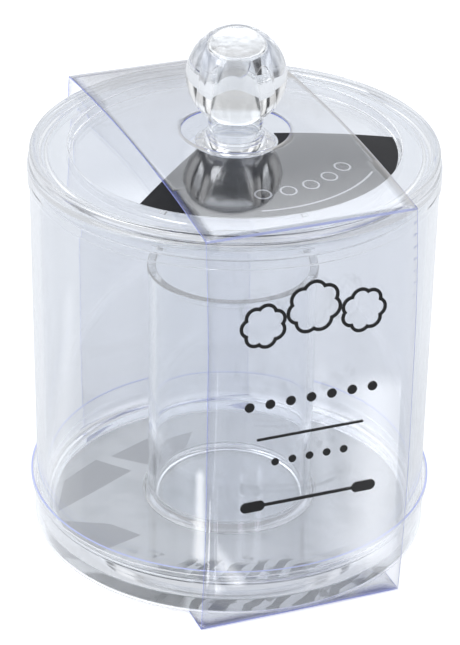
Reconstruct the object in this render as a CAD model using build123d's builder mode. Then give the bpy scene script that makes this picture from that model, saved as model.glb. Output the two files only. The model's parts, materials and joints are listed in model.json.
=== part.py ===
import os
from math import cos, radians, sin, sqrt

from build123d import *

# Cotton ball canister: a clear round jar on a thin clear tray, with a swab cup standing in the middle
# of the jar, a lid with a ball knob, and a clear sleeve that goes over the whole.
# All sizes are in millimetres. Z is up, the ground is at z = 0, and the sleeve's front faces -Y.

# Clearances
sliding_gap = 0.3      # between pieces that slide past each other
seat_gap = 0.05        # under every piece that rests on another one

# Clear sleeve, a band of film open at its bottom creases, and the strip under the tray
film_wall = 0.3
sleeve_width = 52.2
sleeve_crease_rise = 0.8   # height of the top creases above the lid's crest
sleeve_bow = 2.5           # how far the top panel arches above its creases
sleeve_crease_inset = 2.2  # how far the top creases are drawn in over the lid's shoulder
sleeve_lean_height = 2.9   # height over which the panels lean in below those creases
sleeve_hole_margin = 1.0   # between the ball and the hole's edge as the sleeve is pulled off

# Tray that the jar's foot stands in
tray_wall = 0.5
tray_height = 13.65
tray_lip_flare = 1.0
tray_lip_height = 1.4
tray_flare_height = 1.6
tray_gap = 0.07            # between the tray and the jar's wall, just below the flare
tray_corner_gap = 0.2      # by which the tray's inner corner is sharper than the jar's foot

# Printed card under the jar
base_card_wall = 0.4

# Jar
jar_radius_low = 49.2
jar_radius_high = 50.0
jar_wall = 2.3
jar_height = 100.9
foot_ring_width = 1.7
foot_recess = 3.8
foot_corner = 1.3
jar_floor_wall = 2.8
jar_floor_corner = 2.6
rim_proud = 0.4
rim_band_height = 9.4
rim_band_slope = 0.8
rim_top_flat = 0.3         # flat ring on top of the rim, between its two rounded edges
mouth_corner = 0.6
register_depth = 1.2

# Swab cup
cup_radius = 20.9
cup_wall = 1.8
cup_height = 65.95
cup_floor_wall = 1.5
cup_floor_corner = 2.0
cup_lip_proud = 0.4
cup_lip_height = 1.7
cup_foot_proud = 1.0
cup_foot_height = 2.7
cup_foot_slope = 0.9
cup_lip_corner = 0.5

# Lid
lid_ledge = 0.5            # by which the lid's edge stands in from the jar's rim
lid_ring_height = 2.75
lid_shoulder = 1.5
lid_crest_drop = 0.5
lid_crest_width = 9.5      # from the lid's edge to the recess
lid_recess_depth = 2.3
lid_recess_draft = 0.6
lid_dome_rise = 2.6
lid_floor_wall = 2.4
lid_plug_length = 5.0
lid_plug_wall = 1.8
lid_crest_corner = 0.7

# Knob
ball_radius = 12.2
neck_length = 7.29         # from the foot to where the neck runs into the ball
neck_radius = 6.9          # at the ball
waist_radius = 6.65
waist_height = 4.4
neck_flare_radius = 4.48   # of the hollow curve from the waist down to the foot
knob_foot_radius = 9.8
knob_foot_edge = 0.6
knob_seat_margin = 0.6
knob_bore_radius = 5.6     # of the blind bore that hollows the knob, at its closed upper end
knob_bore_draft = 0.15     # by which the bore is wider at the foot
knob_bore_corner = 0.8
knob_top_wall = 6.2        # solid plastic above the bore

# Boss on the lid that locates the knob's bore
boss_height = 1.6
boss_gap = 0.05

# Dark fan-shaped card on the lid
fan_card_wall = 0.3
fan_apex = (-4.0, 4.1)
fan_edge_angles = (-138.3, -13.2)
fan_reach = 60.0

# Heights, from the ground up
tray_z = film_wall + seat_gap
tray_floor_z = tray_z + tray_wall
foot_z = tray_floor_z + seat_gap
tray_top = tray_z + tray_height
tray_lip_z = tray_top - tray_lip_height
tray_flare_z = tray_lip_z - tray_flare_height
jar_floor_z = foot_z + foot_recess + jar_floor_wall
jar_top = foot_z + jar_height
rim_band_z = jar_top - rim_band_height
register_z = jar_floor_z - register_depth
cup_z = register_z + seat_gap
cup_floor_z = cup_z + cup_floor_wall
cup_foot_top = cup_z + cup_foot_height
cup_top = cup_z + cup_height
cup_lip_z = cup_top - cup_lip_height
lid_z = jar_top + seat_gap
lid_crest_z = lid_z + lid_ring_height
lid_recess_z = lid_crest_z - lid_recess_depth
knob_seat_z = lid_recess_z + lid_dome_rise
knob_z = knob_seat_z + seat_gap
neck_join_z = knob_z + neck_length
ball_z = neck_join_z + sqrt(ball_radius**2 - neck_radius**2)
bore_top_z = ball_z + ball_radius - knob_top_wall
boss_top_z = knob_seat_z + boss_height
plug_z = lid_z - lid_plug_length
sleeve_crease_z = lid_crest_z + sleeve_crease_rise
sleeve_crest_z = sleeve_crease_z + sleeve_bow

# Radii that follow from their neighbours
jar_draft = (jar_radius_high - jar_radius_low) / jar_height
widening = max(jar_draft, 0)
rim_radius = jar_radius_high + rim_proud
mouth_radius = jar_radius_high - jar_wall
rim_corner = rim_radius - mouth_radius - mouth_corner - rim_top_flat
floor_bore_radius = jar_radius_low - jar_wall
foot_inner_radius = jar_radius_low - foot_ring_width
base_card_radius = foot_inner_radius - sliding_gap
tray_inner_radius = jar_radius_low + widening * (tray_flare_z - foot_z) + tray_gap
tray_radius = tray_inner_radius + tray_wall
tray_lip_radius = tray_radius + tray_lip_flare
tray_inner_corner = foot_corner - tray_corner_gap
cup_foot_radius = cup_radius + cup_foot_proud
cup_lip_radius = cup_radius + cup_lip_proud
cup_bore_radius = cup_radius - cup_wall
register_radius = cup_foot_radius + sliding_gap
lid_radius = rim_radius - lid_ledge
lid_recess_radius = lid_radius - lid_crest_width
plug_radius = mouth_radius - sliding_gap - widening * lid_plug_length
plug_inner_radius = plug_radius - lid_plug_wall
recess_floor_radius = lid_recess_radius - lid_recess_draft
bore_mouth_radius = knob_bore_radius + knob_bore_draft
boss_radius = knob_bore_radius - boss_gap
knob_seat_radius = knob_foot_radius + knob_seat_margin
fan_radius = recess_floor_radius - sliding_gap
sleeve_hole_radius = ball_radius + sleeve_hole_margin
sleeve_half_depth = max(tray_lip_radius, rim_radius) + sliding_gap
sleeve_top_half_depth = sleeve_half_depth - sleeve_crease_inset


def dome_radius(inner, outer, rise):
    """Radius of a shallow dome centred on the axis that rises this much from the outer ring to the inner."""
    centre_drop = (outer**2 - inner**2 - rise**2) / (2 * rise)
    return sqrt(outer**2 + centre_drop**2)


os.makedirs("parts", exist_ok=True)

# Clear strip of film that crosses under the tray, between the sleeve's bottom creases
with BuildPart() as wrap_bottom_panel:
    with BuildSketch(Plane.XY):
        Rectangle(sleeve_width, 2 * (sleeve_half_depth + film_wall))
    extrude(amount=film_wall)
wrap_bottom_panel.part.label = "wrap_bottom_panel"
export_step(wrap_bottom_panel.part, "parts/wrap_bottom_panel.step")

# Thin clear tray: a dish with a rounded bottom edge and a lip that flares at the top
with BuildPart() as base_tray:
    with BuildSketch(Plane.XZ) as tray_section:
        with BuildLine():
            Polyline(
                (0, tray_z),
                (tray_radius, tray_z),
                (tray_radius, tray_flare_z),
                (tray_lip_radius, tray_lip_z),
                (tray_lip_radius, tray_top),
                (tray_lip_radius - tray_wall, tray_top),
                (tray_lip_radius - tray_wall, tray_lip_z),
                (tray_inner_radius, tray_flare_z),
                (tray_inner_radius, tray_floor_z),
                (0, tray_floor_z),
                close=True,
            )
        make_face()
        outer_corner = tray_section.vertices().sort_by_distance((tray_radius, tray_z))[0]
        fillet(outer_corner, tray_inner_corner + tray_wall)
        inner_corner = tray_section.vertices().sort_by_distance((tray_inner_radius, tray_floor_z))[0]
        fillet(inner_corner, tray_inner_corner)
    revolve(axis=Axis.Z)
base_tray.part.label = "base_tray"
export_step(base_tray.part, "parts/base_tray.step")

# Printed card disc that lies on the tray's floor, inside the jar's foot ring
with BuildPart() as base_card:
    with BuildSketch(Plane.XY.offset(foot_z)):
        Circle(base_card_radius)
    extrude(amount=base_card_wall)
base_card.part.label = "base_card"
export_step(base_card.part, "parts/base_card.step")

# Jar: a drafted wall on a foot ring, with a raised floor, a round register that holds the cup,
# and a thicker band at the rim
with BuildPart() as jar_body:
    with BuildSketch(Plane.XZ) as jar_section:
        recess_z = foot_z + foot_recess
        wall_radius_at_band = jar_radius_low + jar_draft * (rim_band_z - foot_z)
        with BuildLine():
            Polyline(
                (foot_inner_radius, foot_z),
                (jar_radius_low, foot_z),
                (wall_radius_at_band, rim_band_z),
                (rim_radius, rim_band_z + rim_band_slope),
                (rim_radius, jar_top),
                (mouth_radius, jar_top),
                (floor_bore_radius, jar_floor_z),
                (register_radius, jar_floor_z),
                (register_radius, register_z),
                (0, register_z),
                (0, recess_z),
                (foot_inner_radius, recess_z),
                close=True,
            )
        make_face()
        foot_edge = jar_section.vertices().sort_by_distance((jar_radius_low, foot_z))[0]
        fillet(foot_edge, foot_corner)
        floor_edge = jar_section.vertices().sort_by_distance((floor_bore_radius, jar_floor_z))[0]
        fillet(floor_edge, jar_floor_corner)
        rim_edge = jar_section.vertices().sort_by_distance((rim_radius, jar_top))[0]
        fillet(rim_edge, rim_corner)
        mouth_edge = jar_section.vertices().sort_by_distance((mouth_radius, jar_top))[0]
        fillet(mouth_edge, mouth_corner)
    revolve(axis=Axis.Z)
jar_body.part.label = "jar_body"
export_step(jar_body.part, "parts/jar_body.step")

# Swab cup: a straight clear cup with a proud lip and a stepped foot that sits in the jar's register
with BuildPart() as swab_cup:
    with BuildSketch(Plane.XZ) as cup_section:
        with BuildLine():
            Polyline(
                (0, cup_z),
                (cup_foot_radius, cup_z),
                (cup_foot_radius, cup_foot_top - cup_foot_slope),
                (cup_radius, cup_foot_top),
                (cup_radius, cup_lip_z),
                (cup_lip_radius, cup_lip_z + cup_lip_proud),
                (cup_lip_radius, cup_top),
                (cup_bore_radius, cup_top),
                (cup_bore_radius, cup_floor_z),
                (0, cup_floor_z),
                close=True,
            )
        make_face()
        bore_corner = cup_section.vertices().sort_by_distance((cup_bore_radius, cup_floor_z))[0]
        fillet(bore_corner, cup_floor_corner)
        for lip_edge in ((cup_lip_radius, cup_top), (cup_bore_radius, cup_top)):
            fillet(cup_section.vertices().sort_by_distance(lip_edge)[0], cup_lip_corner)
    revolve(axis=Axis.Z)
swab_cup.part.label = "swab_cup"
export_step(swab_cup.part, "parts/swab_cup.step")

# Lid: a solid outer ring with a rounded shoulder, a recess with a gently domed floor that is level
# under the knob and has a low boss there, and a plug ring that reaches down into the jar's mouth
with BuildPart() as lid:
    with BuildSketch(Plane.XZ) as lid_section:
        dome_arc = dome_radius(knob_seat_radius, recess_floor_radius, lid_dome_rise)
        under_edge_z = lid_recess_z - lid_floor_wall
        under_seat_z = knob_seat_z - lid_floor_wall
        with BuildLine():
            Polyline(
                (recess_floor_radius, lid_recess_z),
                (lid_recess_radius, lid_crest_z),
                (lid_radius, lid_crest_z - lid_crest_drop),
                (lid_radius, lid_z),
                (plug_radius, lid_z),
                (plug_radius, plug_z),
                (plug_inner_radius, plug_z),
                (plug_inner_radius, under_edge_z),
                (recess_floor_radius, under_edge_z),
            )
            RadiusArc((recess_floor_radius, under_edge_z), (knob_seat_radius, under_seat_z), -dome_arc)
            Polyline(
                (knob_seat_radius, under_seat_z),
                (0, under_seat_z),
                (0, boss_top_z),
                (boss_radius, boss_top_z),
                (boss_radius, knob_seat_z),
                (knob_seat_radius, knob_seat_z),
            )
            RadiusArc((knob_seat_radius, knob_seat_z), (recess_floor_radius, lid_recess_z), dome_arc)
        make_face()
        crest_edge = (lid_recess_radius, lid_crest_z)
        fillet(lid_section.vertices().sort_by_distance(crest_edge)[0], lid_crest_corner)
        shoulder_edge = (lid_radius, lid_crest_z - lid_crest_drop)
        fillet(lid_section.vertices().sort_by_distance(shoulder_edge)[0], lid_shoulder)
    revolve(axis=Axis.Z)
lid.part.label = "lid"
export_step(lid.part, "parts/lid.step")

# Knob: a clear ball on a waisted neck with a flared foot, moulded round a blind bore that comes up
# from the foot and fits over the lid's boss
with BuildPart() as lid_knob:
    with BuildSketch(Plane.XZ) as knob_section:
        foot_face_radius = knob_foot_radius - knob_foot_edge / 2
        foot_upper_edge = (foot_face_radius, knob_z + knob_foot_edge)
        waist = (waist_radius, knob_z + waist_height)
        with BuildLine():
            Line((bore_mouth_radius, knob_z), (foot_face_radius, knob_z))
            ThreePointArc(
                (foot_face_radius, knob_z),
                (knob_foot_radius, knob_z + knob_foot_edge / 2),
                foot_upper_edge,
            )
            RadiusArc(foot_upper_edge, waist, neck_flare_radius)
            Line(waist, (neck_radius, neck_join_z))
            ThreePointArc((neck_radius, neck_join_z), (ball_radius, ball_z), (0, ball_z + ball_radius))
            Polyline(
                (0, ball_z + ball_radius),
                (0, bore_top_z),
                (knob_bore_radius, bore_top_z),
                (bore_mouth_radius, knob_z),
            )
        make_face()
        bore_end = (knob_bore_radius, bore_top_z)
        fillet(knob_section.vertices().sort_by_distance(bore_end)[0], knob_bore_corner)
    revolve(axis=Axis.Z)
lid_knob.part.label = "lid_knob"
export_step(lid_knob.part, "parts/lid_knob.step")

# Dark card: a fan that follows the lid's dome, notched round the knob's foot
with BuildPart() as lid_card:
    with BuildSketch(Plane.XZ):
        edge_rise = sqrt(dome_arc**2 - fan_radius**2) - sqrt(dome_arc**2 - recess_floor_radius**2)
        rest_z = lid_recess_z + edge_rise + seat_gap
        rest_seat_z = knob_seat_z + seat_gap
        with BuildLine():
            RadiusArc((knob_seat_radius, rest_seat_z), (fan_radius, rest_z), dome_arc)
            Line((fan_radius, rest_z), (fan_radius, rest_z + fan_card_wall))
            RadiusArc(
                (fan_radius, rest_z + fan_card_wall),
                (knob_seat_radius, rest_seat_z + fan_card_wall),
                -dome_arc,
            )
            Line((knob_seat_radius, rest_seat_z + fan_card_wall), (knob_seat_radius, rest_seat_z))
        make_face()
    revolve(axis=Axis.Z)
    fan_corners = [
        (fan_apex[0] + fan_reach * cos(radians(angle)), fan_apex[1] + fan_reach * sin(radians(angle)))
        for angle in fan_edge_angles
    ]
    with BuildSketch(Plane.XY.offset(lid_recess_z - lid_floor_wall)):
        with BuildLine():
            Polyline(fan_apex, fan_corners[0], (0, -2 * fan_reach), fan_corners[1], close=True)
        make_face()
    extrude(amount=2 * (lid_dome_rise + lid_floor_wall), mode=Mode.INTERSECT)
lid_card.part.label = "lid_card"
export_step(lid_card.part, "parts/lid_card.step")

# Clear sleeve: upright front and back panels that lean in over the lid's shoulder, and an arched
# top panel with a round hole that the knob passes through
with BuildPart() as wrap_band:
    with BuildSketch(Plane.YZ):
        lean_z = sleeve_crease_z - sleeve_lean_height
        with BuildLine():
            Polyline(
                (-sleeve_half_depth, film_wall + seat_gap),
                (-sleeve_half_depth, lean_z),
                (-sleeve_top_half_depth, sleeve_crease_z),
            )
            ThreePointArc(
                (-sleeve_top_half_depth, sleeve_crease_z),
                (0, sleeve_crest_z),
                (sleeve_top_half_depth, sleeve_crease_z),
            )
            Polyline(
                (sleeve_top_half_depth, sleeve_crease_z),
                (sleeve_half_depth, lean_z),
                (sleeve_half_depth, film_wall + seat_gap),
            )
            offset(amount=film_wall, side=Side.LEFT)
        make_face()
    extrude(amount=sleeve_width / 2, both=True)
    with BuildSketch(Plane.XY.offset(sleeve_crease_z)):
        Circle(sleeve_hole_radius)
    extrude(amount=2 * sleeve_bow, mode=Mode.SUBTRACT)
wrap_band.part.label = "wrap_band"
export_step(wrap_band.part, "parts/wrap_band.step")
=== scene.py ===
"""Looks of a clear cotton ball canister in a clear film sleeve.

Sizes are in metres, apart from the outlines of turned pieces, which are in millimetres.
"""

import json
import math

import bmesh
import bpy
from mathutils import Matrix, Vector

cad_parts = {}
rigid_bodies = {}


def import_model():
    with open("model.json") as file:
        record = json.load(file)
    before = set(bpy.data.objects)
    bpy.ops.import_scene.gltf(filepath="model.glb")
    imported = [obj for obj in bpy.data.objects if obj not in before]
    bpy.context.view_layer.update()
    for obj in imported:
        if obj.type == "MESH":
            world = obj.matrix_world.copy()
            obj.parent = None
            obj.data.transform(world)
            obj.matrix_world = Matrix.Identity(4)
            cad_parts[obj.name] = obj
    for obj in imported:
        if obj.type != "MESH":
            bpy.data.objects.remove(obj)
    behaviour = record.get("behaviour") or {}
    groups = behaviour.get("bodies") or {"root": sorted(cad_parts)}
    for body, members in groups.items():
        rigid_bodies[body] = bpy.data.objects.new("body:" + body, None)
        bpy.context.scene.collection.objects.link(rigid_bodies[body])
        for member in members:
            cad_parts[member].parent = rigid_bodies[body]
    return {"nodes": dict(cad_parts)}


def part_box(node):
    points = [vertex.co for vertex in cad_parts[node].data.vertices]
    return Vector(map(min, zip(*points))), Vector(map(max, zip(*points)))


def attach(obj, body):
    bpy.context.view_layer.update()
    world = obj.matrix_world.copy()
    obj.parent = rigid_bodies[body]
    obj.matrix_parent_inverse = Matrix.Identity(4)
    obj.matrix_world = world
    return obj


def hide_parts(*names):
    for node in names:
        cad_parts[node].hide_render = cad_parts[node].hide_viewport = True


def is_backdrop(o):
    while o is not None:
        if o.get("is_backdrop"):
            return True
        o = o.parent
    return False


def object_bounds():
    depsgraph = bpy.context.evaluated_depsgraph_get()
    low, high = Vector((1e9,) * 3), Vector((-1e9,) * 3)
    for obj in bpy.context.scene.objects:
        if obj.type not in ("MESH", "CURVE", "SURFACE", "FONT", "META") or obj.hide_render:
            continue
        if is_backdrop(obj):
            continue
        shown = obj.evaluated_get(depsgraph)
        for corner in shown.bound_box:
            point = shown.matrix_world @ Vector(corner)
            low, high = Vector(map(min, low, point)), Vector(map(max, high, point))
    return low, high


for leftover in list(bpy.data.objects):
    bpy.data.objects.remove(leftover)

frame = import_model()
cad_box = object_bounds()
nodes = frame["nodes"]
mm = 0.001


# Tray under the jar: a dish vacuum-formed from thin clear sheet, with a lip that flares at the top.
# Its faces are glassy, and its cut lip shows the blue-violet of the sheet's edge, with a faint painted glow.
# The classes and functions below turn a moulding from its outline and write its finish, for every piece that
# follows.
class Signal:
    """A socket of a node tree, so that shader maths is written as Python expressions."""

    def __init__(self, tree, socket):
        self.tree = tree
        self.socket = socket

    def maths(self, operation, *others):
        sockets = dict(enumerate((self, *others)))
        return self.tree.add("ShaderNodeMath", {"operation": operation}, sockets).out()

    def __add__(self, other):
        return self.maths("ADD", other)

    __radd__ = __add__

    def __sub__(self, other):
        return self.maths("SUBTRACT", other)

    def __rsub__(self, other):
        return self * -1 + other

    def __mul__(self, other):
        return self.maths("MULTIPLY", other)

    __rmul__ = __mul__

    def __truediv__(self, other):
        return self.maths("DIVIDE", other)

    def __pow__(self, other):
        return self.maths("POWER", other)

    def __abs__(self):
        return self.maths("ABSOLUTE")

    def either(self, other):
        return self.maths("MAXIMUM", other)

    def both(self, other):
        return self.maths("MINIMUM", other)

    def rises(self, low, high):
        """0 below low, 1 above high and smooth between; with low above high it falls."""
        sockets = {"Value": self, "From Min": low, "From Max": high}
        if low > high:
            sockets = {"Value": self, "From Min": high, "From Max": low, "To Min": 1, "To Max": 0}
        return self.tree.add("ShaderNodeMapRange", {"interpolation_type": "SMOOTHSTEP"}, sockets).out()


class Tree:
    """A node tree of a material or the world, with one method that adds any node."""

    def __init__(self, owner):
        owner.use_nodes = True
        self.nodes = owner.node_tree.nodes
        self.links = owner.node_tree.links
        self.nodes.clear()

    def add(self, kind, settings=None, sockets=None):
        node = self.nodes.new(kind)
        for name, value in (settings or {}).items():
            if name == "stops":
                elements = node.color_ramp.elements
                while len(elements) < len(value):
                    elements.new(0.5)
                for element, (position, level) in zip(elements, value):
                    element.position = position
                    element.color = (level, level, level, 1)
            else:
                setattr(node, name, value)
        for name, value in (sockets or {}).items():
            if isinstance(value, Signal):
                self.links.new(value.socket, node.inputs[name])
            else:
                node.inputs[name].default_value = value
        return Added(self, node)

    def blend(self, share, low, high):
        """A colour between two colours, by a share from 0 to 1."""
        return self.add("ShaderNodeMix", {"data_type": "RGBA"}, {0: share, 6: low, 7: high}).out(2)

    def mix(self, share, low, high):
        """A shader between two shaders, by a share from 0 to 1."""
        return self.add("ShaderNodeMixShader", None, {0: share, 1: low, 2: high}).out()


class Added:
    """A node that was just added; out() gives one of its outputs as a Signal."""

    def __init__(self, tree, node):
        self.tree = tree
        self.node = node

    def out(self, name=0):
        return Signal(self.tree, self.node.outputs[name])


def surface(name, build):
    """A material whose surface is the shader that build(tree) returns."""
    material = bpy.data.materials.new(name)
    tree = Tree(material)
    shader = build(tree)
    tree.add("ShaderNodeOutputMaterial", None, {"Surface": shader})
    return material


def place(tree):
    return tree.add("ShaderNodeTexCoord").out("Object")


def coordinates(tree):
    parts = tree.add("ShaderNodeSeparateXYZ", None, {0: place(tree)})
    return parts.out(0), parts.out(1), parts.out(2)


def noise(tree, size, detail=2.0):
    """Noise with lumps of about this size in metres, from 0 to 1."""
    sockets = {"Vector": place(tree), "Scale": 1 / size, "Detail": detail}
    return tree.add("ShaderNodeTexNoise", None, sockets).out()


def bump(tree, height, distance):
    return tree.add("ShaderNodeBump", None, {"Strength": 1.0, "Distance": distance, "Height": height}).out()


def lets_lamps_through(tree, shader, colour):
    """The shader, but lamps shine on through it, so that what stands behind the plastic is lit."""
    open_way = tree.add("ShaderNodeBsdfTransparent", None, {"Color": (*colour, 1)}).out()
    lamp_ray = tree.add("ShaderNodeLightPath").out("Is Shadow Ray")
    return tree.mix(lamp_ray, shader, open_way)


def clear_plastic(name, colour, wave, wave_size, painted_glow_level=0.6, haze=0.0):
    """Clear moulded plastic: its faces are polished, but flow in the mould leaves them faintly wavy.

    A path that has crossed more than caught_after faces ends in a painted glow, an even pale grey
    at the level given, which stands in for the light that a wall would guide out.
    """
    caught_after = 13.5

    def build(tree):
        sockets = {
            "Base Color": (*colour, 1),
            "Roughness": noise(tree, 14 * mm, 3.0).rises(0.45, 0.8) * 0.04 + haze,
            "IOR": 1.57,
            "Transmission Weight": 1.0,
            "Normal": bump(tree, noise(tree, wave_size, 1.0), wave),
        }
        glass = tree.add("ShaderNodeBsdfPrincipled", None, sockets).out()
        # Painted glow: after many faces the plastic gives out an even pale grey, standing in for light that
        # a wall would guide out.
        faces_crossed = tree.add("ShaderNodeLightPath").out("Ray Depth")
        caught = faces_crossed.rises(caught_after - 0.1, caught_after + 0.1)
        pale = (painted_glow_level, painted_glow_level * 1.03, painted_glow_level * 1.08, 1)
        painted_glow = tree.add("ShaderNodeEmission", None, {"Color": pale}).out()
        return lets_lamps_through(tree, tree.mix(caught, glass, painted_glow), (0.975, 0.98, 0.985))

    return surface(name, build)


def rounded(outline, edge=0.15, steps=6):
    """Points in millimetres of an outline whose corners are rounded.

    A corner is (radius, height) or (radius, height, corner radius). Without a corner radius it has
    that of edge, and a corner radius of 0 leaves it sharp.
    """
    points = []
    for i, corner in enumerate(outline):
        here = Vector(corner[:2])
        size = corner[2] if len(corner) > 2 else edge
        if i in (0, len(outline) - 1) or not size:
            points.append(here)
            continue
        back = (Vector(outline[i - 1][:2]) - here).normalized()
        onward = (Vector(outline[i + 1][:2]) - here).normalized()
        half = back.angle(onward) / 2
        middle = here + (back + onward).normalized() * size / math.sin(half)
        start = here + back * size / math.tan(half) - middle
        end = here + onward * size / math.tan(half) - middle
        count = max(2, round(steps * start.angle(end) / (math.pi / 2)))
        points += [middle + start.slerp(end, k / count) * size for k in range(count + 1)]
    return points


def arc(start, end, middle, count):
    """Points of an arc in an outline, from start to end about its middle, each left as it is."""
    middle = Vector(middle)
    arms = [Vector(point) - middle for point in (start, end)]
    points = [middle + arms[0].slerp(arms[1], k / count) * arms[0].length for k in range(count + 1)]
    return [(point.x, point.y, 0) for point in points]


def turned(name, outline, node, body, slot, *materials, around=192):
    """A piece turned from its outline in millimetres, which runs from the axis round to the axis.

    At the axis a face uses the middle point twice, so it is made from its different points only.
    """
    sharp_turn = math.radians(34)
    mesh = bmesh.new()
    angles = [2 * math.pi * k / around for k in range(around)]
    rings = [[mesh.verts.new((0, 0, outline[0][1] * mm))] * around]
    for radius, height in outline[1:-1]:
        reach, rise = radius * mm, height * mm
        rings.append([mesh.verts.new((reach * math.cos(a), reach * math.sin(a), rise)) for a in angles])
    rings.append([mesh.verts.new((0, 0, outline[-1][1] * mm))] * around)
    for low, high in zip(rings, rings[1:]):
        for k in range(around):
            mesh.faces.new(list(dict.fromkeys((low[k - 1], low[k], high[k], high[k - 1]))))
    bmesh.ops.recalc_face_normals(mesh, faces=mesh.faces)
    for face in mesh.faces:
        face.smooth = True
    data = bpy.data.meshes.new(name)
    mesh.to_mesh(data)
    mesh.free()
    data.set_sharp_from_angle(angle=sharp_turn)
    for material in materials:
        data.materials.append(material)
    piece = bpy.data.objects.new(name, data)
    bpy.context.scene.collection.objects.link(piece)
    even = piece.modifiers.new("even shading", "WEIGHTED_NORMAL")
    even.keep_sharp = True
    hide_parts(node)
    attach(piece, body)
    return piece


def cut_finish(name, colour, glow):
    """Cut edge of clear sheet or film, where its blue-violet shows, with a faint painted glow that stands in
    for light the sheet carries to its edge.
    """

    def build(tree):
        sockets = {
            "Base Color": (*colour, 1),
            "Roughness": 0.3,
            # Painted glow on the cut edge.
            "Emission Color": (*glow, 1),
            "Emission Strength": 0.3,
            "Normal": bump(tree, noise(tree, 0.5 * mm), 0.02 * mm),
        }
        return tree.add("ShaderNodeBsdfPrincipled", None, sockets).out()

    return surface(name, build)


# The tray's cut lip: blue-violet, with a faint painted glow.
lip_edge = cut_finish("tray_lip_edge", (0.50, 0.54, 0.80), (0.42, 0.46, 0.78))
tray_sheet = clear_plastic("tray_sheet", (0.975, 0.98, 0.99), 0.02 * mm, 7 * mm, painted_glow_level=0.8)
tray_foot_radius, tray_corner, tray_flare_height, tray_lip_height, tray_top = 49.85, 1.6, 11, 12.6, 14
tray_outline = [
    (0, 0.35), (tray_foot_radius, 0.35, tray_corner), (tray_foot_radius, tray_flare_height, 0.6),
    (50.85, tray_lip_height, 0.6), (50.85, tray_top, 0.08),
    (50.35, tray_top, 0.08), (50.35, tray_lip_height, 0.6),
    (49.35, tray_flare_height, 0.6), (49.35, 0.85, 1.1), (0, 0.85),
]
tray = turned("tray", rounded(tray_outline), "base_tray", "jar", "tray_film", tray_sheet, lip_edge)
for polygon in tray.data.polygons:
    polygon.material_index = int(polygon.center.z > (tray_top - 0.1) * mm)


# Card disc under the jar: thin white card printed in greys, which lies on the tray's floor.
# The print is a plain pattern of its own: soft wedges at the left, curved stripes towards the front.
def seen_from_front_left(x, y):
    """Distances to the right of the axis and nearer than it, for someone at the canister's front left."""
    turn_sine, turn_cosine = 0.369, 0.929
    return x * turn_cosine + y * -turn_sine, x * -turn_sine + y * -turn_cosine


def inside(right, near, corners):
    """1 inside a convex outline of the print, whose corners in millimetres run clockwise as seen, else 0."""
    share = None
    for (start_x, start_y), (end_x, end_y) in zip(corners, corners[1:] + corners[:1]):
        run = math.hypot(end_x - start_x, end_y - start_y)
        across, along = (end_x - start_x) / run, (end_y - start_y) / run
        depth = (near - start_y * mm) * across - (right - start_x * mm) * along
        share = depth if share is None else share.both(depth)
    return share.rises(-0.2 * mm, 0.2 * mm)


# Each wedge has its corners in millimetres and its level of grey
wedges = (
    (((-44, 7), (-44, -8), (-36, -19), (-26, -14)), 0.46),
    (((-44, 11), (-30, 12), (-22, 17), (-34, 27), (-44, 24)), 0.48),
    (((-32, -21), (-22, -31), (-12, -36), (-16, -15)), 0.52),
)


def print_in_greys(tree):
    x, y, _ = coordinates(tree)
    right, near = seen_from_front_left(x, y)
    cloud = noise(tree, 18 * mm, 3.0)
    fine_cloud = noise(tree, 5 * mm, 4.0)
    shade = (cloud * 0.6 + fine_cloud * 0.4).rises(0.44, 0.62) * 0.28
    grey = tree.blend(shade, (0.98, 0.985, 0.99, 1), (0.46, 0.50, 0.51, 1))
    for corners, level in wedges:
        grey = tree.blend(inside(right, near, corners) * 0.9, grey, (level, level, level * 1.03, 1))
    blots = fine_cloud.rises(0.54, 0.60) * near.rises(22 * mm, 30 * mm)
    grey = tree.blend(blots * 0.75, grey, (0.10, 0.105, 0.12, 1))
    shaded = near.rises(31 * mm, 33 * mm) * right.rises(-9 * mm, -11 * mm) * right.rises(-38 * mm, -36 * mm)
    grey = tree.blend(shaded * (0.55 + fine_cloud * 0.5), grey, (0.11, 0.12, 0.13, 1))
    bend = (cloud - 0.5) * 12 * mm
    stripe_spacing = 6 * mm
    stripes = ((right + near * 0.6 + bend) * (2 * math.pi / stripe_spacing)).maths("SINE").rises(-0.15, 0.15)
    striped = (near + bend).rises(26 * mm, 29 * mm) * right.rises(-14 * mm, -8 * mm)
    grey = tree.blend(striped * stripes * 0.9, grey, (0.07, 0.075, 0.085, 1))
    fibre = noise(tree, 0.4 * mm, 4.0)
    sockets = {"Base Color": grey, "Roughness": 0.45, "Normal": bump(tree, fibre, 0.006 * mm)}
    return tree.add("ShaderNodeBsdfPrincipled", None, sockets).out()


def dress(node_name, material):
    """Gives a CAD node its finish."""
    slots = nodes[node_name].data.materials
    slots.clear()
    slots.append(material)


dress("base_card", surface("printed_disc", print_in_greys))


# Jar: one moulding of clear plastic with a thick floor, a foot ring and a thicker band at the rim.
# It stands in the tray, round the card, and a round register in its floor holds the cup.
jar_plastic = clear_plastic("jar_moulding", (0.928, 0.938, 0.953), 0.02 * mm, 16 * mm, painted_glow_level=0.68)
jar_outline = [
    (0, 4.7), (47.5, 4.7, 0.35), (47.5, 0.9, 0.25), (49.2, 0.9, 1.3), (49.95, 95.7, 0.4), (50.4, 96.2, 0.3),
    (50.4, 101.8, 1.8), (47.7, 101.8, 0.6), (46.9, 7.5, 2.6), (22.2, 7.5, 0.2), (22.2, 6.3, 0.1), (0, 6.3),
]
turned("jar", rounded(jar_outline), "jar_body", "jar", "clear_plastic", jar_plastic)


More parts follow.
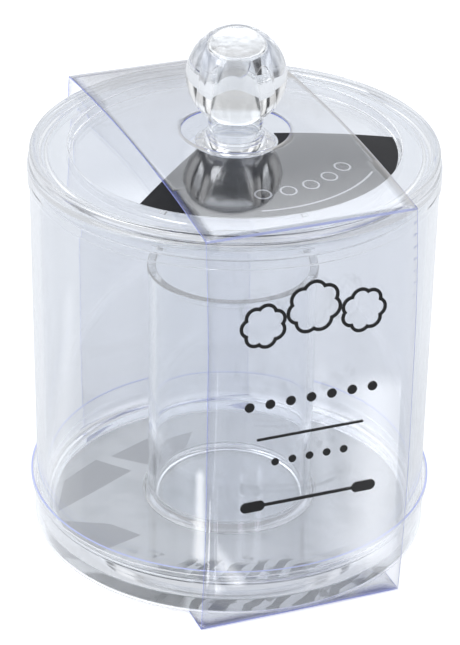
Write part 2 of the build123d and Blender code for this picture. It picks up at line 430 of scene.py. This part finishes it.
# Swab cup: a clear moulded cup with a proud lip and a stepped foot, which stands in the jar's register.
# Its wall is thinner than the jar's, and it lifts out.
cup_plastic = clear_plastic("cup_moulding", (0.95, 0.958, 0.97), 0.015 * mm, 14 * mm, painted_glow_level=0.35)
cup_outline = [
    (0, 6.35), (21.9, 6.35, 0.25), (21.9, 8.15, 0.3), (20.9, 9.05, 0.4), (20.9, 70.6, 0.1), (21.3, 71, 0.1),
    (21.3, 72.3, 0.5), (19.1, 72.3, 0.5), (19.1, 7.85, 2), (0, 7.85),
]
turned("cup", rounded(cup_outline), "swab_cup", "cup", "cup_plastic", cup_plastic)


# Lid: a thick clear moulding with a solid outer ring, a shallow recess with a gently domed floor, a
# plug ring that reaches into the jar's mouth, and a low boss in the middle that locates the knob.
lid_plastic = clear_plastic("lid_moulding", (0.955, 0.963, 0.975), 0.015 * mm, 12 * mm, painted_glow_level=0.68)
floor_wall, knob_seat, boss_top = 2.4, 104.9, 106.5
recess_radius, recess_height = 39.8, 102.3
upper_dome = arc((10.4, knob_seat), (recess_radius, recess_height), (0, -180.223), 24)
lower_dome = [(radius, height - floor_wall, corner) for radius, height, corner in upper_dome]
underside = recess_height - floor_wall
lid_outline = [
    (0, knob_seat - floor_wall), *lower_dome[:-1], (recess_radius, underside, 0.4),
    (45.56, underside, 0.4), (45.56, 96.85, 0.85), (47.36, 96.85, 0.85), (47.36, 101.85, 0.1),
    (49.9, 101.85, 0.2), (49.9, 104.3, 1.0), (40.4, 104.6, 0.7),
    (recess_radius, recess_height, 0.35), *upper_dome[-2::-1],
    (5.55, knob_seat, 0.1), (5.55, boss_top, 0.3), (0, boss_top),
]
turned("lid_moulding", rounded(lid_outline), "lid", "lid", "lid_plastic", lid_plastic)


# Knob: a clear ball on a waisted neck with a flared foot, moulded round a blind bore that comes up
# from the foot. It is bonded over the lid's boss, and the end of its bore is left a little hazy.
knob_plastic = clear_plastic("knob_moulding", (0.955, 0.965, 0.975), 0.01 * mm, 10 * mm)
knob_end = clear_plastic("knob_bore_end", (0.90, 0.915, 0.935), 0.12 * mm, 1.6 * mm, haze=0.22)
ball_radius, ball_height, bore_end, foot_height = 12.2, 122.301, 128.3, 104.95
ball_middle, ball_side = (0, ball_height), (ball_radius, ball_height)
ball_top = ball_height + ball_radius
knob_outline = [
    (0, bore_end), (5.6, bore_end, 0.8), (5.75, foot_height, 0.15), (9.5, foot_height, 0),
    (9.71, 105.04, 0), (9.8, 105.25, 0), (9.71, 105.46, 0),
    *arc((9.5, 105.55), (6.65, 109.35), (11.114, 109.729), 12),
    *arc((6.9, 112.24), ball_side, ball_middle, 14)[:-1],
    *arc(ball_side, (0.001, ball_top), ball_middle, 22)[:-1],
    (0, ball_top),
]
knob = turned("knob", rounded(knob_outline), "lid_knob", "lid", "knob_plastic", knob_plastic, knob_end)
for polygon in knob.data.polygons:
    in_bore = polygon.center.xy.length < 6 * mm
    polygon.material_index = int(in_bore and abs(polygon.center.z - bore_end * mm) < 0.2 * mm)


# Dark card on the lid: a fan of thin card, printed all over in black with a satin finish.
# A thin pale rule follows its curved edge, over a row of small pale rings.
def length(x, y):
    """Length of a step of x one way and y the other."""
    return (x * x + y * y).maths("SQRT")


def black_print(tree):
    rule_radius, rings_radius = 35 * mm, 28 * mm
    ring_spacing, ring_size = 6.4 * mm, 1.9 * mm
    x, y, _ = coordinates(tree)
    radius = length(x, y)
    fibre = noise(tree, 0.35 * mm, 4.0)
    bearing = y.maths("ARCTAN2", x) + 1.25
    rule = (abs(radius - rule_radius)).rises(0.30 * mm, 0.22 * mm) * abs(bearing).rises(0.52, 0.51)
    along = (bearing * rings_radius / ring_spacing + 0.5).maths("FRACT") * ring_spacing - ring_spacing / 2
    ring = length(radius - rings_radius, along)
    rings = abs(ring - ring_size).rises(0.28 * mm, 0.2 * mm) * abs(bearing).rises(0.58, 0.57)
    black = tree.blend(noise(tree, 4 * mm, 3.0), (0.010, 0.010, 0.012, 1), (0.018, 0.018, 0.021, 1))
    sockets = {
        "Base Color": tree.blend(rule.either(rings), black, (0.62, 0.63, 0.66, 1)),
        "Roughness": 0.42 + fibre * 0.15,
        "Specular IOR Level": 0.2,
        "Normal": bump(tree, fibre, 0.006 * mm),
    }
    return tree.add("ShaderNodeBsdfPrincipled", None, sockets).out()


dress("lid_card", surface("dark_fan_card", black_print))


# Sleeve: one band of clear film, folded over the lid and down the front and the back.
# The film is pulled in at its creases and bows out between them, and a round hole lets the knob
# through. Its cut edges and creases show blue-violet, the cut edges with a faint painted glow, and its front
# is printed in black.
film = 0.3 * mm
_, sleeve_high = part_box("wrap_band")
half_width = sleeve_high.x
panel_middle = sleeve_high.y - film / 2
crease_depth = 48.95 * mm
crease_height = 105.4 * mm
crest_height = sleeve_high.z - film / 2
lean_height = 2.9 * mm
fold_height = film / 2
hole_radius = 13.2 * mm
tray_gap = 0.28 * mm
corner_height = film + tray_corner * mm
lip_height = tray_lip_height * mm
lower_pull_height = 45 * mm
upper_pull_height = 70 * mm


def middle_depth(z):
    """Depth of the front panel on its centre line: round the tray's corner, out to its lip and up."""
    clear_radius = tray_corner * mm + tray_gap
    corner_centre = (tray_foot_radius - tray_corner) * mm
    if z < corner_height:
        return corner_centre + math.sqrt(max(clear_radius**2 - (corner_height - z) ** 2, 0))
    if z < lip_height:
        start = corner_centre + clear_radius
        return start + (panel_middle - start) * (z - corner_height) / (lip_height - corner_height)
    lean = max(0, z - crease_height + lean_height) / lean_height
    return panel_middle - (panel_middle - crease_depth) * lean


def edge_depth(z):
    """Depth of the front panel at its free edges, which the creases pull in further up and down."""
    pull = panel_middle - crease_depth
    from_below = max(0, 1 - z / lower_pull_height) ** 2
    from_above = max(0, (z - upper_pull_height) / (crease_height - upper_pull_height)) ** 2
    return panel_middle - pull * (from_below + from_above)


def panel_point(x, z, side):
    across = (x / half_width) ** 2
    depth = middle_depth(z) * (1 - across) + edge_depth(z) * across
    return Vector((x, side * depth, z))


def top_point(x, y):
    arch = 1 - (y / crease_depth) ** 2
    return Vector((x, y, crease_height + (crest_height - crease_height) * arch))


def spaced(start, end, count):
    """Values from start towards end in even steps, without end itself."""
    return [start + (end - start) * i / count for i in range(count)]


columns = 24
hole_rings = 10
column_x = [half_width * math.tan(math.pi / 4 * (2 * i / columns - 1)) for i in range(columns + 1)]
panel_heights = [
    *spaced(fold_height, corner_height, 6),
    *spaced(corner_height, lip_height, 6),
    *spaced(lip_height, crease_height - lean_height, 30),
    *spaced(crease_height - lean_height, crease_height, 5),
]


def film_piece(name, grids, node, body):
    """A piece of film from grids of points: a sheet with real thickness and its own cut edges."""
    mesh = bmesh.new()
    seen = {}

    def vertex(point):
        key = tuple(round(c * 1e7) for c in point)
        if key not in seen:
            seen[key] = mesh.verts.new(point)
        return seen[key]

    for rows in grids:
        for low, high in zip(rows, rows[1:]):
            for i in range(len(low) - 1):
                mesh.faces.new([vertex(p) for p in (low[i], low[i + 1], high[i + 1], high[i])])
    bmesh.ops.recalc_face_normals(mesh, faces=mesh.faces)
    for face in mesh.faces:
        face.smooth = True
    data = bpy.data.meshes.new(name)
    mesh.to_mesh(data)
    mesh.free()
    data.materials.append(film_faces)
    data.materials.append(film_edge)
    piece = bpy.data.objects.new(name, data)
    bpy.context.scene.collection.objects.link(piece)
    thicken = piece.modifiers.new("film thickness", "SOLIDIFY")
    thicken.thickness = film
    thicken.offset = 0
    thicken.material_offset_rim = 1
    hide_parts(node)
    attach(piece, body)
    return piece


def sleeve_grids():
    """Grids of the upright panels with the top's ends, and of the four patches round the top's hole."""
    for side in (-1, 1):
        rows = [[panel_point(x, z, side) for x in column_x] for z in panel_heights]
        depths = [*spaced(crease_depth, half_width, 12), half_width]
        rows += [[top_point(x, side * y) for x in column_x] for y in depths]
        yield rows if side < 0 else [row[::-1] for row in rows]
        patch = []
        for ring in range(hole_rings + 1):
            row = []
            for i in range(columns + 1):
                angle = math.pi / 4 * (2 * i / columns - 1)
                square = Vector((half_width * math.tan(angle), half_width))
                circle = hole_radius * Vector((math.sin(angle), math.cos(angle)))
                row.append(square.lerp(circle, ring / hole_rings))
            patch.append(row)
        yield [[top_point(p.x, side * p.y) for p in row][:: -side] for row in patch]
        yield [[top_point(side * p.y, p.x) for p in row][:: side] for row in patch]


def line_distance(x, z, start, end):
    """Distance from a straight line between two points of a plane, in metres."""
    run = Vector((end[0] - start[0], end[1] - start[1]))
    from_x, from_z = x - start[0], z - start[1]
    along = (from_x * run.x + from_z * run.y) / run.length_squared
    along = along.either(0.0).both(1.0)
    return length(from_x - along * run.x, from_z - along * run.y)


def spot_distance(x, z, middle):
    return length(x - middle[0], z - middle[1])


def front_print(tree):
    """Where the front panel is printed: cotton balls, a rule between rows of dots, and a swab below."""
    rule_z, swab_z, lobes = 52.3 * mm, 34 * mm, 7
    x, y, z = coordinates(tree)
    ink = None
    for middle_x, middle_z, size in ((0, 85.5 * mm, 1.2), (12.5 * mm, 82.5 * mm, 1.0)):
        ball = spot_distance(abs(x), z, (middle_x, middle_z)) - 4.1 * mm * size
        for k in range(lobes):
            lobe = Vector((0, 3.2 * mm * size))
            lobe.rotate(Matrix.Rotation(2 * math.pi * k / lobes + middle_x * 90, 2))
            lobe += Vector((middle_x, middle_z))
            ball = ball.both(spot_distance(x if not middle_x else abs(x), z, lobe) - 2.3 * mm * size)
        outline = abs(ball).rises(0.45 * mm, 0.35 * mm)
        ink = outline if ink is None else ink.either(outline)
    rule = line_distance(x, z, (-13.3 * mm, rule_z), (13.3 * mm, rule_z))
    ink = ink.either(rule.rises(0.34 * mm, 0.26 * mm))
    dot_rows = ((61.5 * mm, 5.2 * mm, 3, 1.25 * mm), (45.5 * mm, 4.4 * mm, 2, 1.0 * mm))
    for row_z, spacing, count, size in dot_rows:
        step = (x / spacing).maths("ROUND").either(-count).both(count)
        ink = ink.either(spot_distance(x - step * spacing, z, (0, row_z)).rises(size, size * 0.92))
    shaft = line_distance(x, z, (-15 * mm, swab_z), (15 * mm, swab_z)).rises(0.42 * mm, 0.34 * mm)
    ends = line_distance(abs(x), z, (12.6 * mm, swab_z), (16 * mm, swab_z)).rises(1.45 * mm, 1.35 * mm)
    ink = ink.either(shaft).either(ends)
    return ink * y.rises(-40 * mm, -42 * mm)


def film_face(tree):
    """Clear film that mirrors more the flatter it is seen, with blue-violet creases and the print."""
    _, y, z = coordinates(tree)
    facing = tree.add("ShaderNodeLayerWeight", None, {"Blend": 0.5}).out("Facing")
    mirror_share = 0.065 + (facing**3.3) * 1.05
    crease = (abs(z - crease_height) + abs(abs(y) - crease_depth)).rises(0.55 * mm, 0.35 * mm)
    fold = z.rises(0.5 * mm, 0.35 * mm) * abs(y).rises(crease_depth - 0.75 * mm, crease_depth - 0.45 * mm)
    through = tree.add("ShaderNodeBsdfTransparent", None, {"Color": (0.965, 0.97, 0.985, 1)}).out()
    veil = tree.add("ShaderNodeBsdfDiffuse", None, {"Color": (0.85, 0.87, 0.93, 1)}).out()
    bent = tree.add("ShaderNodeBsdfDiffuse", None, {"Color": (0.40, 0.45, 0.80, 1)}).out()
    hazy = tree.mix(0.012, through, veil)
    hazy = tree.mix(crease.either(fold) * 0.55, hazy, bent)
    ripple = bump(tree, noise(tree, 30 * mm, 1.0), 0.2 * mm)
    gloss = tree.add("ShaderNodeBsdfGlossy", None, {"Roughness": 0.03, "Normal": ripple}).out()
    clear = lets_lamps_through(tree, tree.mix(mirror_share, hazy, gloss), (0.97, 0.97, 0.98))
    printed = {"Base Color": (0.008, 0.008, 0.009, 1), "Roughness": 0.4, "Specular IOR Level": 0.2}
    return tree.mix(front_print(tree), clear, tree.add("ShaderNodeBsdfPrincipled", None, printed).out())


film_faces = surface("sleeve_film", film_face)
# The film's cut edge: blue-violet, with a faint painted glow.
film_edge = cut_finish("film_cut_edge", (0.20, 0.24, 0.66), (0.25, 0.28, 0.75))
film_piece("sleeve", sleeve_grids(), "wrap_band", "wrap")


# Strip of the same film that crosses under the tray, between the sleeve's bottom creases.
# It stays under the tray when the sleeve is drawn off.
strip_y = [*spaced(-crease_depth, crease_depth, 16), crease_depth]
strip_grid = [[Vector((x, y, fold_height)) for x in column_x] for y in strip_y]
film_piece("bottom_strip", [strip_grid], "wrap_bottom_panel", "jar")


# Floor: a plain pale studio floor that keeps the canister's shadow. The eye sees it as white, the
# plastic shows it as pale blue-grey with a painted pool of light right under the canister, standing in
# for light that the plastic lets through, and what mirrors it finds a few painted highlight streaks on
# it, standing in for the studio's lights shining back.
# Painted highlight streaks: the start, end, half breadth and level of each.
painted_light_streaks = (
    ((-14 * mm, 74 * mm), (-25 * mm, 108 * mm), 6.0 * mm, 8.0),
    ((5 * mm, 66 * mm), (11 * mm, 112 * mm), 3.5 * mm, 3.0),
    ((12 * mm, 66 * mm), (27 * mm, 112 * mm), 4.0 * mm, 3.0),
    ((-80 * mm, 0), (-170 * mm, -6 * mm), 22 * mm, 0.7),
    ((50 * mm, 52 * mm), (110 * mm, 112 * mm), 14 * mm, 2.5),
)


def floor_with_painted_light(tree):
    """Pale paint, with a painted pool of light under the canister and painted highlight streaks, which run
    between places that are given to the right and nearer.
    """
    x, y, _ = coordinates(tree)
    right, near = seen_from_front_left(x, y)
    # Painted pool of light under the canister, seen by rays that come through the plastic.
    under = length(x, y).rises(64 * mm, 50 * mm)
    streaks = 0.0
    # Painted highlight streaks, seen only by rays that mirror the floor.
    for start, end, half_breadth, level in painted_light_streaks:
        streaks = line_distance(right, near, start, end).rises(half_breadth, 0.0) * level + streaks
    path = tree.add("ShaderNodeLightPath")
    through = path.out("Is Transmission Ray")
    mirrored = path.out("Is Glossy Ray") * (1 - through)
    shine = path.out("Is Camera Ray") * 0.5 + through * (under * 0.5 + 0.05)
    shine = shine + mirrored * (streaks + 0.16)
    matt = tree.add("ShaderNodeBsdfDiffuse", None, {"Color": (0.855, 0.875, 0.905, 1)}).out()
    glow = tree.add("ShaderNodeEmission", None, {"Color": shine}).out()
    return tree.add("ShaderNodeAddShader", None, {0: matt, 1: glow}).out()


floor_half = 2.0
floor_height = -0.2 * mm
floor_mesh = bpy.data.meshes.new("floor")
floor_sides = ((-1, -1), (1, -1), (1, 1), (-1, 1))
floor_corners = [(x * floor_half, y * floor_half, floor_height) for x, y in floor_sides]
floor_mesh.from_pydata(floor_corners, [], [(0, 1, 2, 3)])
floor_mesh.materials.append(surface("pale_floor", floor_with_painted_light))
floor = bpy.data.objects.new("floor", floor_mesh)
bpy.context.scene.collection.objects.link(floor)
floor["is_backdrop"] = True


# Camera: a long lens that looks down at the canister from its front left, so that the sleeve's front
# is turned a little to the right.
heading = math.radians(21.652)
pitch = math.radians(28.597)
roll = math.radians(1.013)
camera_distance = 633.64 * mm
camera_height = 400.39 * mm
sleeve_turn = math.radians(21.697)
camera_data = bpy.data.cameras.new("camera")
camera_data.lens = 161.0
camera_data.sensor_width = 36.0
camera = bpy.data.objects.new("camera", camera_data)
bpy.context.scene.collection.objects.link(camera)
aim = Matrix.Rotation(-heading, 3, "Z") @ Matrix.Rotation(math.pi / 2 - pitch, 3, "X")
camera.rotation_euler = (aim @ Matrix.Rotation(roll, 3, "Z")).to_euler()
camera_x = -camera_distance * math.sin(sleeve_turn)
camera_y = -camera_distance * math.cos(sleeve_turn)
camera.location = (camera_x, camera_y, camera_height)
bpy.context.scene.camera = camera


# World: a white studio, as glass and gloss find it. Strip lights and two dark flags stand round the
# canister, with a bright backdrop ahead, a soft box high at the left and a ceiling that is pale on
# the camera's side. Everything else is lit evenly by a plain pale sky.
world = bpy.data.worlds.new("studio")
bpy.context.scene.world = world
air = Tree(world)
direction = air.add("ShaderNodeTexCoord").out("Generated")


def towards(bearing):
    """How far a direction points towards a bearing, which is measured clockwise from the back."""
    sockets = {0: direction, 1: (math.sin(bearing), math.cos(bearing), 0)}
    return air.add("ShaderNodeVectorMath", {"operation": "DOT_PRODUCT"}, sockets).out("Value")


ahead = towards(heading)
aside = towards(heading + math.pi / 2)
upward = air.add("ShaderNodeSeparateXYZ", None, {0: direction}).out(2)
studio_round = (
    (-180, 0.5), (-160, 0.5), (-156, 1.6), (-148, 1.6), (-144, 0.4), (-128, 0.4), (-122, 1.5), (-104, 1.5),
    (-98, 0.5), (-84, 0.5), (-76, 1.0), (-62, 1.0), (-55, 0.9), (-48, 0.12), (-38, 0.12), (-32, 0.7),
    (28, 0.7), (33, 0.06), (48, 0.06), (53, 1.0), (64, 1.0), (72, 0.5), (84, 0.5), (94, 1.3), (112, 1.3),
    (120, 0.4), (140, 0.4), (146, 1.6), (154, 1.6), (160, 0.5),
)
ramp_stops = [((angle + 180) / 360, level) for angle, level in studio_round]
bearing_share = aside.maths("ARCTAN2", ahead) / (2 * math.pi) + 0.5
around = air.add("ShaderNodeValToRGB", {"stops": ramp_stops}, {0: bearing_share}).out()
ceiling = air.blend(ahead.rises(-0.2, 0.1), (1.3, 1.33, 1.4, 1), (0.05, 0.055, 0.065, 1))
gloss_sees = air.blend(upward.rises(0.58, 0.72), around, ceiling)
backdrop_level = air.blend(upward.rises(0.50, 0.62), (1.0, 1.03, 1.07, 1), (2.0, 2.05, 2.12, 1))
backdrop = upward.rises(0.20, 0.34) * upward.rises(0.78, 0.68) * ahead.rises(0.62, 0.74)
gloss_sees = air.blend(backdrop, gloss_sees, backdrop_level)
soft_box = towards(heading - 1.7) * 0.6 + upward * 0.8
gloss_sees = air.blend(soft_box.rises(0.955, 0.97), gloss_sees, (2.6, 2.65, 2.75, 1))
path = air.add("ShaderNodeLightPath")
shiny = path.out("Is Glossy Ray").either(path.out("Is Transmission Ray"))
plain = air.blend(path.out("Is Camera Ray"), (0.85, 0.86, 0.88, 1), (1, 1, 1, 1))
sky = air.add("ShaderNodeBackground", None, {0: air.blend(shiny, plain, gloss_sees)}).out()
air.add("ShaderNodeOutputWorld", None, {0: sky})


# Key light: a broad soft lamp high on the left.
# It lights the cards and the floor, and gives the canister its soft shadow.
lamp_side = 0.5
lamp_data = bpy.data.lights.new("key", "AREA")
lamp_data.shape = "RECTANGLE"
lamp_data.size, lamp_data.size_y = lamp_side, lamp_side
lamp_data.energy = 3.0
key = bpy.data.objects.new("key", lamp_data)
bpy.context.scene.collection.objects.link(key)
key.location = (-0.9, -0.3, 1.1)
key.rotation_euler = (-key.location).to_track_quat("-Z", "Y").to_euler()


# Light paths: light crosses many clear walls in a row here, so it is followed for long enough.
# Then the sizes of the CAD and of the built scene are turned into text.
scene = bpy.context.scene
scene.view_settings.view_transform = "Standard"
scene.cycles.max_bounces = 32
scene.cycles.transmission_bounces = 32
scene.cycles.glossy_bounces = 12
scene.cycles.transparent_max_bounces = 48

for low, high in (cad_box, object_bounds()):
    json.dumps([list(low), list(high)]) + "\n"
